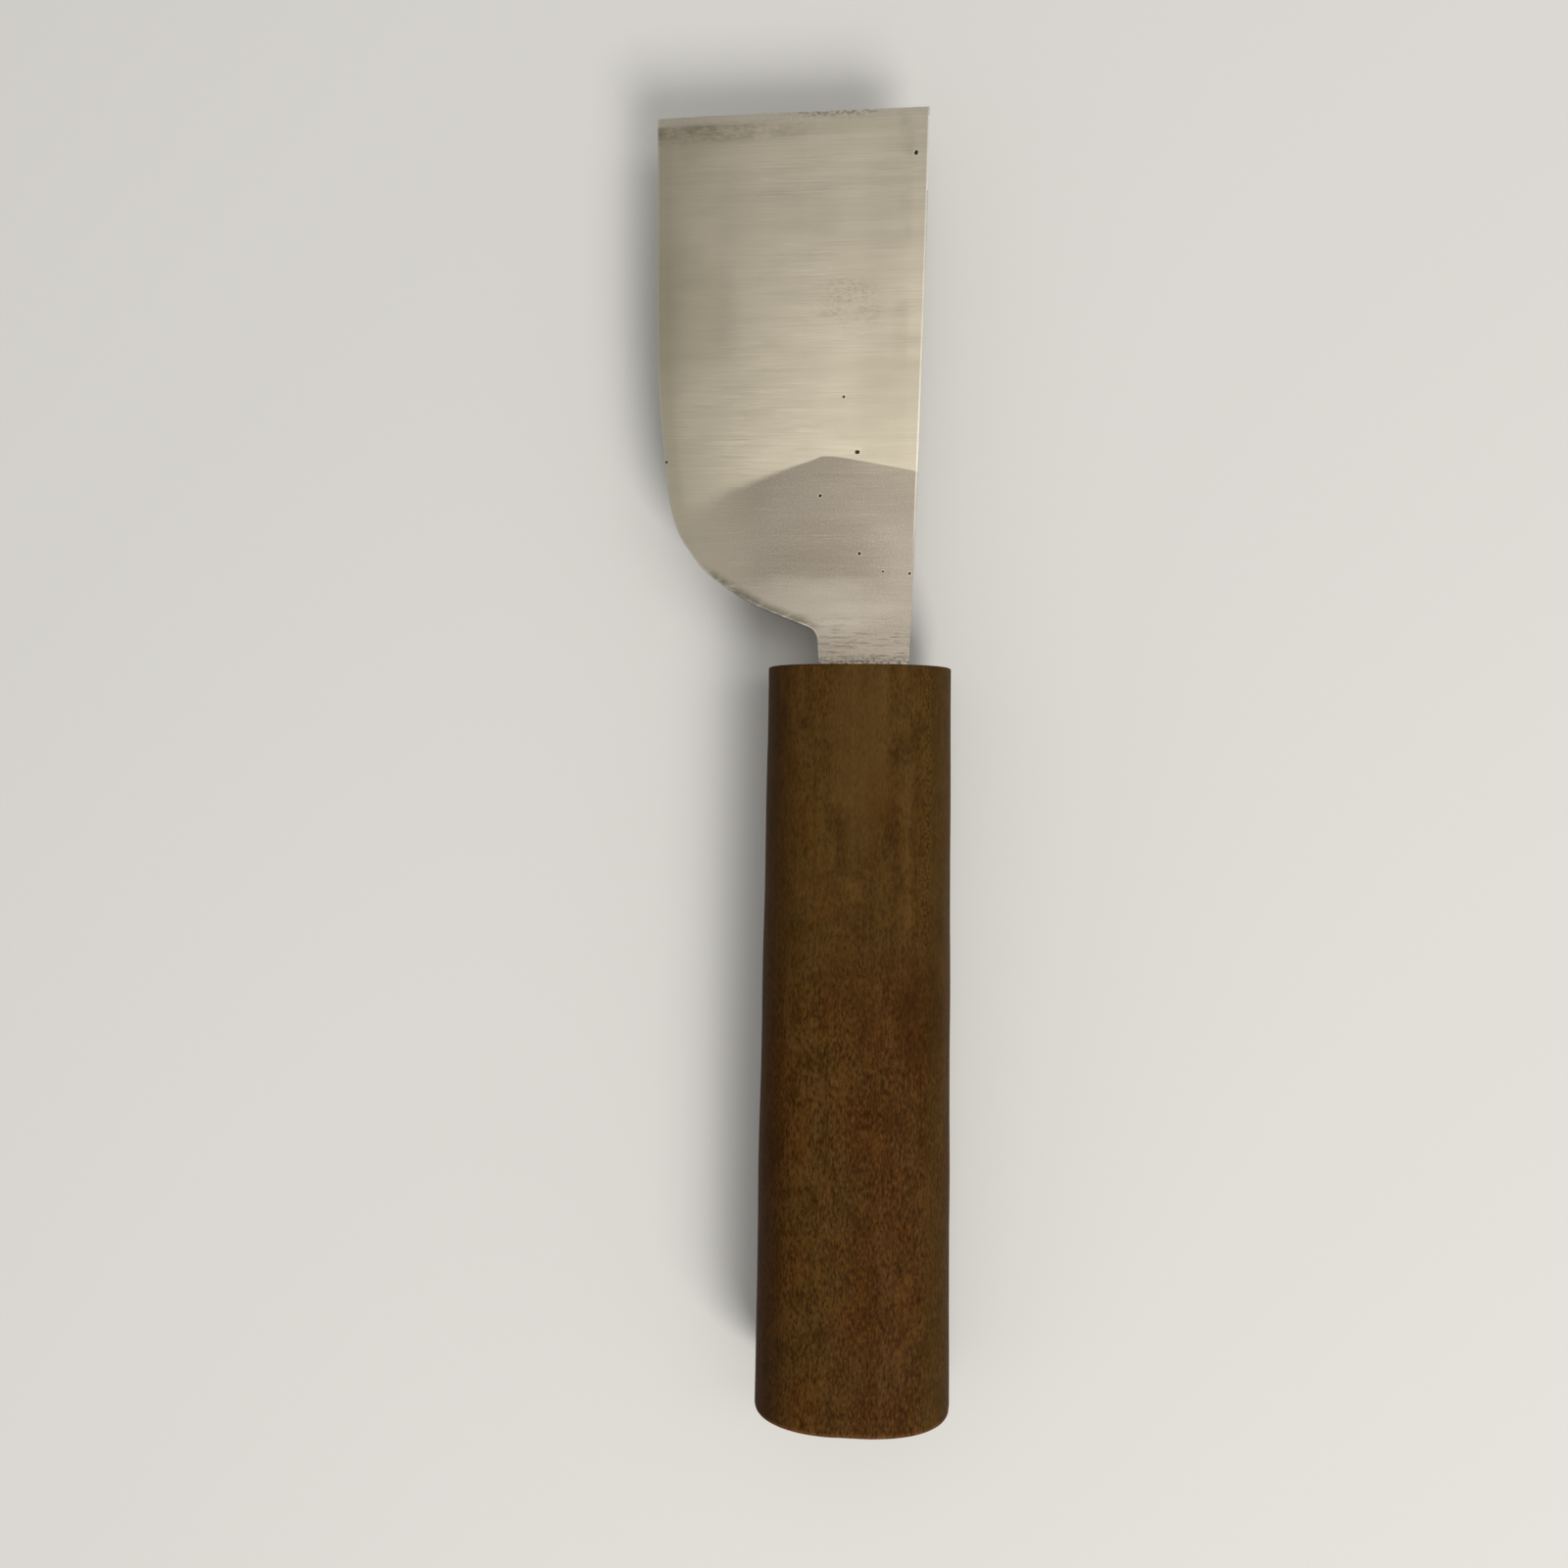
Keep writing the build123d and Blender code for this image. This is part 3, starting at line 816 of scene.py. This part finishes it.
        # Painted highlight: a warm pale line on the butt's rounded rim, where it catches the light.
        rim = self.ramp(self.y, 1.0 - HANDLE_LENGTH, 0.5 - HANDLE_LENGTH)
        self.lay(WOOD_RIM_HIGHLIGHT, 0.5, rim, self.ramp(self.grains, 0.2, 0.6))
        self.colour = self.blend(self.stored("end"), self.colour, self.end_grain())
        self.lay(PORE, 0.8, self.ramp(self.stored("mouth"), 0.7, 0.1))

    def finish(self):
        """The whole material, from the grain up."""
        self.grain()
        self.wear()
        self.marks()
        self.ends()
        roughness = self.total((0.2, self.fine), (0.15, self.zones), (0.45, 1.0))
        torn = self.both(self.rough, self.grains)
        height = self.total((0.01, self.fine), (0.03, torn), (-0.02, self.ramp(self.pores, 0.6, 0.75)))
        return self.surface(roughness, height)


def plain_look(name, dark, light, size, roughness):
    """A nearly even material, clouded a little between two colours."""
    look = Look(name)
    cloud = look.noise((size, size, size), 1, detail=3.0)
    grain = look.noise((size / 8,) * 3, 2, detail=2.0)
    look.colour = look.blend(look.ramp(cloud, 0.35, 0.65), dark, light)
    return look.surface(look.total((0.1, cloud), (1.0, roughness)), look.total((size / 200, grain)))


# ---- The pieces -------------------------------------------------------------------------------------
def finish_piece(piece, node, material):
    """Ties a finished piece to its node and material slot."""
    piece.data.materials.append(material)
    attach(piece, "root")
    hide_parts(node)


FACE_TOLERANCE, END_TOLERANCE = 0.06, 0.01  # millimetres
RIM_POINTS = 900


def paint_metal(piece, iron):
    """Stores each vertex's distances from the blade's outlines and the welded line, in millimetres, whether
    it is on the flat face, and whether it is iron. left is measured straight across the blade, and rim the
    shortest way to the left outline."""
    x, y, z = knife_points(piece)
    flat = z > flat_height(x, y) - FACE_TOLERANCE
    rim = np.full(len(x), np.inf)
    for path_x, path_y in evenly(LEFT_PATH, RIM_POINTS):
        rim = np.minimum(rim, np.hypot(x - path_x, y - path_y))
    paint(piece, weld=y - weld_y(x), edge=edge_y(x) - y, left=x - left_x(y), right=right_x(y) - x, rim=rim)
    paint(piece, flat=flat, iron=np.full(len(x), iron))


def paint_wood(piece):
    """Stores how far each vertex is from the mouth that the blade's neck enters, in millimetres, and
    whether it is on a cut end."""
    x, y, z = knife_points(piece)
    aside = np.maximum(np.maximum(LEFT_SIDE[0][0] - x, x - SPINE_AT_NECK), 0)
    above = np.maximum(np.abs(z) - FLAT_FACE, 0)
    end = np.minimum(np.abs(y), np.abs(y + HANDLE_LENGTH)) < END_TOLERANCE
    paint(piece, mouth=np.sqrt(aside**2 + above**2 + y**2), end=end)


iron, steel = make_blade()
paint_metal(iron, 1.0)
paint_metal(steel, 0.0)
finish_piece(iron, "iron_body", BladeLook("soft_iron").finish())
finish_piece(steel, "steel_layer", BladeLook("hard_steel").finish())

upper_half = make_half("handle_wood_upper", True)
lower_half = make_half("handle_wood_lower", False)
for piece in (upper_half, lower_half):
    paint_wood(piece)
finish_piece(upper_half, "handle_upper_half", WoodLook("handle_wood_upper", 1).finish())
finish_piece(lower_half, "handle_lower_half", WoodLook("handle_wood_lower", 11).finish())

GLUE = plain_look("dried_glue", tone(26, 16, 7), tone(42, 28, 14), 1.0, 0.6)
BEDDING = plain_look("dark_bedding", tone(18, 14, 10), tone(38, 29, 20), 0.6, 0.6)
for node, material in (("handle_glue_film", GLUE), ("tang_bedding", BEDDING)):
    for slot in bpy.data.objects[node].material_slots:
        slot.link = "OBJECT"
        slot.material = material


# ---- Floor, light and camera ------------------------------------------------------------------------
BACKDROP_COLOUR = (1.0, 0.985, 0.96, 1)
BACKDROP_GLOW, WORLD_GLOW = 0.72, 0.38
FADE = (300, 1500)  # millimetres from the knife over which the floor turns into backdrop
FLOOR_SIZE = 6  # metres
FLOOR_DROP = 0.02 * MM  # keeps the floor's face clear of the handle's
FLOOR_PALE, FLOOR_PALER = tone(226, 225, 222), tone(230, 229, 226)
BLACK = (0, 0, 0, 1)


def make_floor():
    """A plain pale floor under the knife, which fades into the backdrop well away from it."""
    bpy.ops.mesh.primitive_plane_add(size=FLOOR_SIZE, location=(0, 0, -FLOOR_DROP))
    floor = bpy.context.object
    floor.name = "floor"
    look = Look("floor", specular_ior_level=0.1, emission_color=BACKDROP_COLOUR)
    shade = look.noise((300, 300, 300), 1, detail=1.0)
    away = look.calc("SQRT", look.total((1.0, look.both(look.x, look.x)), (1.0, look.both(look.y, look.y))))
    far = look.ramp(away, *FADE)
    look.colour = look.blend(far, look.blend(shade, FLOOR_PALE, FLOOR_PALER), BLACK)
    look.feed(look.shader.inputs["Emission Strength"], look.both(far, BACKDROP_GLOW))
    floor.data.materials.append(look.surface(0.8, 0.0))


def soft_light(name, place, aim, size, power, colour=(1, 1, 1)):
    """A soft light at a place, aimed at a point, in metres. size is along x and then along y."""
    data = bpy.data.lights.new(name, "AREA")
    data.shape = "RECTANGLE"
    data.size, data.size_y = size
    data.energy, data.color = power, colour
    light = bpy.data.objects.new(name, data)
    light.location = place
    light.rotation_euler = (Vector(aim) - Vector(place)).to_track_quat("-Z", "Y").to_euler()
    bpy.context.scene.collection.objects.link(light)


def make_studio():
    """Soft light, mostly from above on the right, and a dim even glow from all round. The camera alone
    sees the backdrop as pale as the floor."""
    world = bpy.data.worlds.new("studio")
    world.use_nodes = True
    glow = world.node_tree.nodes["Background"]
    glow.inputs["Color"].default_value = BACKDROP_COLOUR
    seen = world.node_tree.nodes.new("ShaderNodeLightPath").outputs["Is Camera Ray"]
    strength = world.node_tree.nodes.new("ShaderNodeMapRange")
    strength.inputs["To Min"].default_value = WORLD_GLOW
    strength.inputs["To Max"].default_value = BACKDROP_GLOW
    world.node_tree.links.new(seen, strength.inputs["Value"])
    world.node_tree.links.new(strength.outputs[0], glow.inputs["Strength"])
    bpy.context.scene.world = world
    soft_light("overhead", (0.37, 0.14, 0.84), (0.37, 0.14, 0), (0.94, 0.27), 1.5, (1.0, 0.985, 0.95))
    soft_light("front", (0.45, -0.75, 0.85), (0, 0, 0), (0.5, 0.5), 9.0, (1.0, 0.98, 0.94))


def make_camera():
    """The photograph's view: almost straight down, and a little from the right."""
    lean, tilt, twist = CAMERA_LEAN, CAMERA_TILT, CAMERA_TWIST
    toward = Vector((math.sin(lean) * math.cos(tilt), math.sin(tilt), math.cos(lean) * math.cos(tilt)))
    aim = ORIGIN + Vector((*CAMERA_AIM, 0)) * MM
    data = bpy.data.cameras.new("camera")
    data.lens, data.sensor_width = CAMERA_LENS, SENSOR
    data.clip_start = 0.01
    camera = bpy.data.objects.new("camera", data)
    camera.location = aim + toward * CAMERA_DISTANCE * MM
    level = Vector((0, 1, 0)).cross(toward).normalized()
    upright = toward.cross(level)
    right = level * math.cos(twist) + upright * math.sin(twist)
    up = upright * math.cos(twist) - level * math.sin(twist)
    camera.rotation_euler = Matrix((right, up, toward)).transposed().to_euler()
    bpy.context.scene.collection.objects.link(camera)
    bpy.context.scene.camera = camera


make_floor()
make_studio()
make_camera()
bpy.context.scene.view_settings.view_transform = "Standard"
